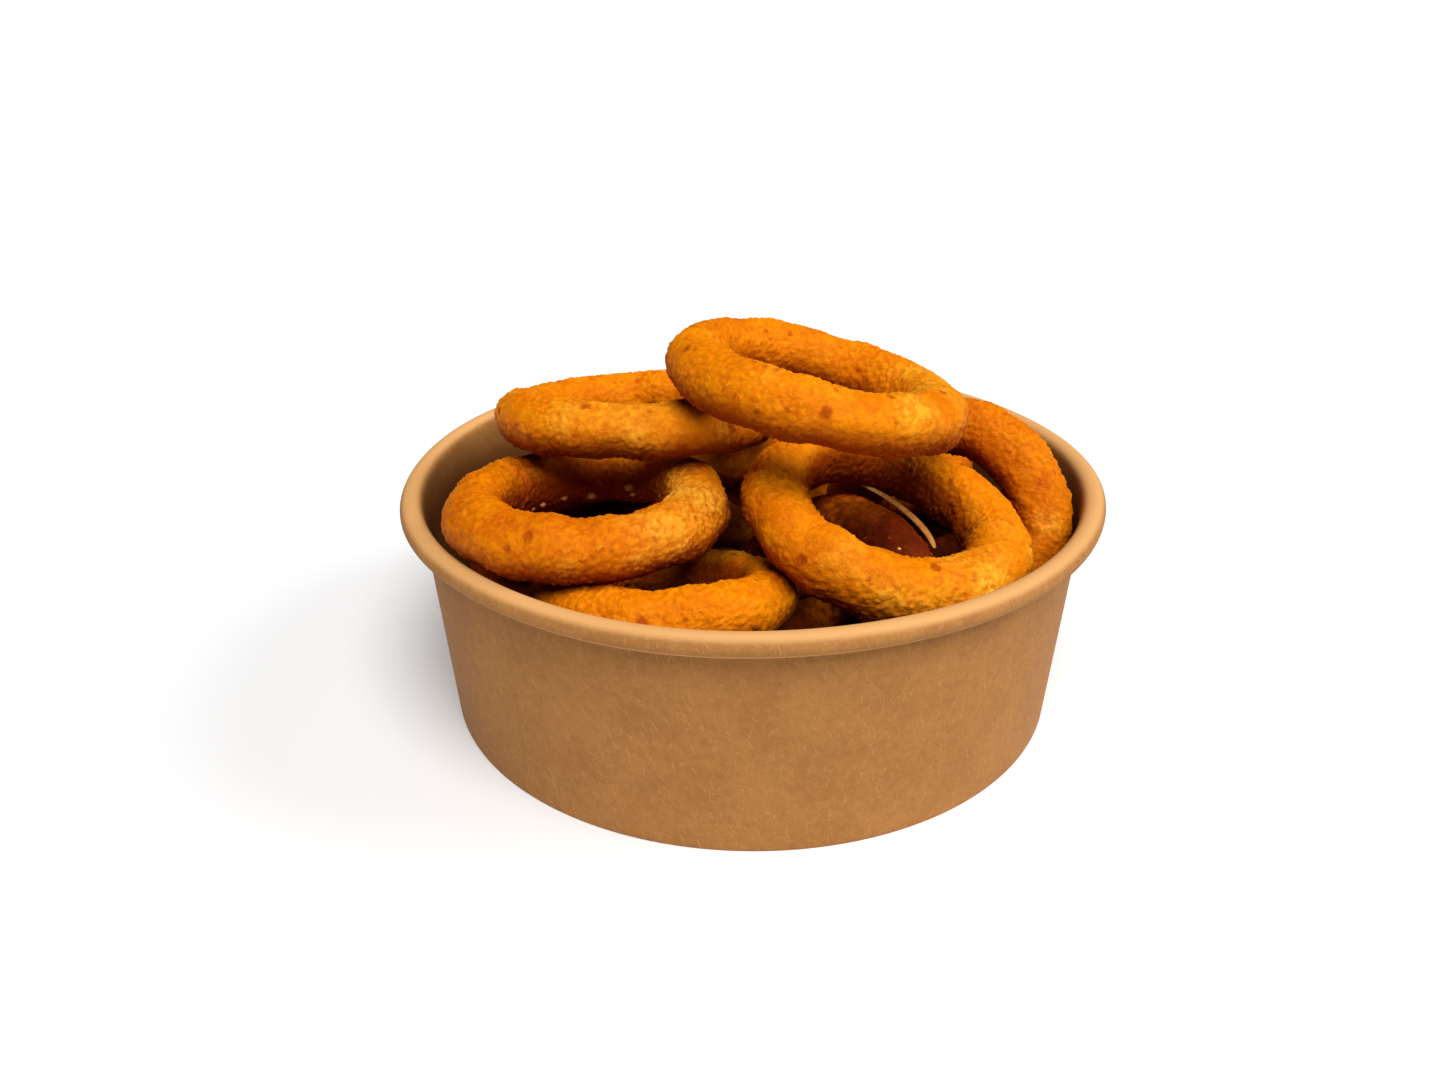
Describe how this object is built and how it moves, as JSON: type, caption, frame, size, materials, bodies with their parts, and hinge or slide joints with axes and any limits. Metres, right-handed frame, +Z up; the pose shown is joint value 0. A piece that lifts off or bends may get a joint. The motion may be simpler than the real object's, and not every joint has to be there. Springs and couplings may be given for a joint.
{
  "type": "onion rings side in a paper bowl",
  "caption": "Heaped side of large crumbed onion rings in a round kraft paper takeaway bowl with a rolled rim.",
  "frame": {"origin": "centre of the bowl's foot circle, on the table", "axes": "+Z up out of the bowl, -Y towards the side that the picture shows"},
  "size_m": [0.15, 0.15, 0.0848],
  "materials": {
    "kraft_board": "matt uncoated kraft board",
    "crumbed_batter": "rough golden fried crumb"
  },
  "bodies": {
    "root": {"paper_bowl": "kraft_board", "ring_floor_left": "crumbed_batter", "ring_floor_right": "crumbed_batter", "ring_floor_back": "crumbed_batter", "ring_low_front": "crumbed_batter", "ring_low_left": "crumbed_batter", "ring_low_right": "crumbed_batter", "ring_low_back": "crumbed_batter", "ring_mid_left": "crumbed_batter", "ring_mid_back_right": "crumbed_batter", "ring_mid_back": "crumbed_batter", "ring_high_back": "crumbed_batter", "ring_under_right": "crumbed_batter", "ring_right_back": "crumbed_batter", "ring_front": "crumbed_batter", "ring_right": "crumbed_batter", "ring_left": "crumbed_batter", "ring_upper_left": "crumbed_batter", "ring_top": "crumbed_batter"}
  },
  "joints": []
}
